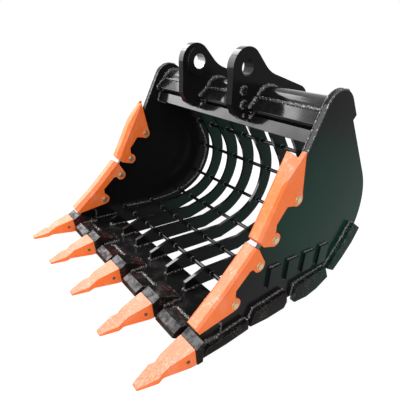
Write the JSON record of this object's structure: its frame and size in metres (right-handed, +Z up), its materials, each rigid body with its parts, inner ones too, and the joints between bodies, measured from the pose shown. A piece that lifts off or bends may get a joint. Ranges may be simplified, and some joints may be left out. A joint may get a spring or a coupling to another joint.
{
  "type": "skeleton rock bucket",
  "caption": "Ribbed excavator bucket that sieves rubble: curved rib back, side plates, bolted side protectors, teeth along the lip and pin ears on a torque tube.",
  "frame": {"origin": "middle of the stick pin axis, halfway between the two ears", "axes": "X runs across the bucket along the pins, the teeth point to -Y, +Z is up with the lip plate level"},
  "size_m": [1.21, 1.177, 1.022],
  "materials": {
    "black_frame": "gloss black paint",
    "black_castings": "black paint over a cast surface",
    "orange_castings": "satin orange paint over a cast surface",
    "fasteners": "yellow zinc plated steel"
  },
  "bodies": {
    "root": {"adapter_1": "black_castings", "adapter_2": "black_castings", "adapter_3": "black_castings", "adapter_4": "black_castings", "adapter_5": "black_castings", "back_plate": "black_frame", "bolt_left_1": "fasteners", "bolt_left_2": "fasteners", "bolt_left_3": "fasteners", "bolt_left_4": "fasteners", "bolt_right_1": "fasteners", "bolt_right_2": "fasteners", "bolt_right_3": "fasteners", "bolt_right_4": "fasteners", "cross_rod_1": "black_frame", "cross_rod_2": "black_frame", "cross_rod_3": "black_frame", "cross_rod_4": "black_frame", "cross_rod_5": "black_frame", "cross_rod_6": "black_frame", "ear_left": "black_frame", "ear_right": "black_frame", "heel_shroud_left_1": "black_castings", "heel_shroud_left_2": "black_castings", "heel_shroud_left_3": "black_castings", "heel_shroud_left_4": "black_castings", "heel_shroud_right_1": "black_castings", "heel_shroud_right_2": "black_castings", "heel_shroud_right_3": "black_castings", "heel_shroud_right_4": "black_castings", "lip_plate": "black_frame", "lip_shroud_1": "black_castings", "lip_shroud_2": "black_castings", "lip_shroud_3": "black_castings", "lip_shroud_4": "black_castings", "mouth_beam": "black_frame", "protector_lower_left": "orange_castings", "protector_lower_right": "orange_castings", "protector_upper_left": "orange_castings", "protector_upper_right": "orange_castings", "rib_1": "black_frame", "rib_2": "black_frame", "rib_3": "black_frame", "rib_4": "black_frame", "rib_5": "black_frame", "rib_6": "black_frame", "rib_7": "black_frame", "side_plate_left": "black_frame", "side_plate_right": "black_frame", "tooth_1": "orange_castings", "tooth_2": "orange_castings", "tooth_3": "orange_castings", "tooth_4": "orange_castings", "tooth_5": "orange_castings", "tooth_pin_1": "fasteners", "tooth_pin_2": "fasteners", "tooth_pin_3": "fasteners", "tooth_pin_4": "fasteners", "tooth_pin_5": "fasteners", "torque_tube": "black_frame"}
  },
  "joints": []
}
